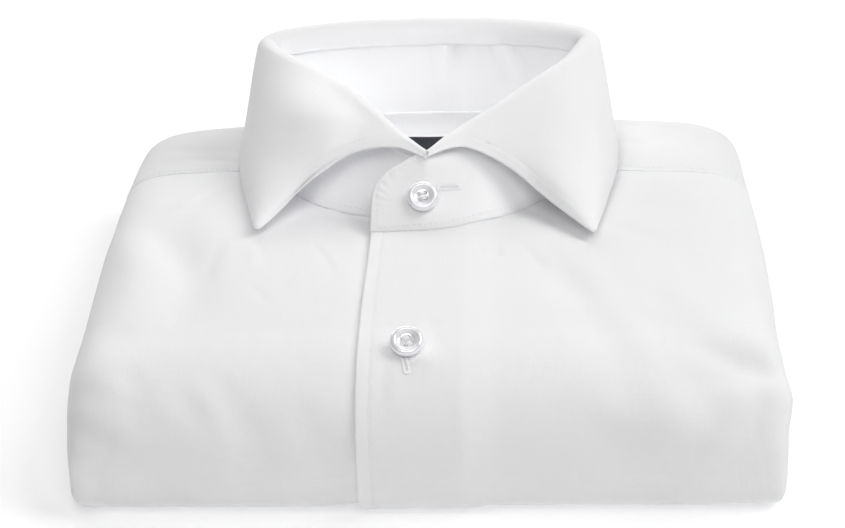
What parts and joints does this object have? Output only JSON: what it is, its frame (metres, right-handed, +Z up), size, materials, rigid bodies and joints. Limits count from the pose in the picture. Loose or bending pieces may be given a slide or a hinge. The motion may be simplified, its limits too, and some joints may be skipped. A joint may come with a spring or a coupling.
{
  "type": "folded dress shirt",
  "caption": "Long-sleeved button-front dress shirt, folded flat as in a shop, with its spread collar standing open round an empty neck.",
  "frame": {"origin": "centre of the underside's bounding box, on the surface the shirt lies on", "axes": "+Z up from the underside to the collar; +X towards the wearer's left side, where the upper front lies; +Y from the front fold to the collar"},
  "size_m": [0.246, 0.2444, 0.0899],
  "materials": {
    "shirting": "fine white cotton poplin, matt, softly creased",
    "label": "blank dark woven label",
    "pearl": "pearly white, glossy"
  },
  "bodies": {
    "root": {"folded_layers": "shirting", "front_lower": "shirting", "front_upper": "shirting", "yoke": "shirting", "yoke_inside": "shirting", "collar_stand": "shirting", "collar_leaf": "shirting", "label": "label", "button_collar": "pearl", "button_front": "pearl"}
  },
  "joints": []
}
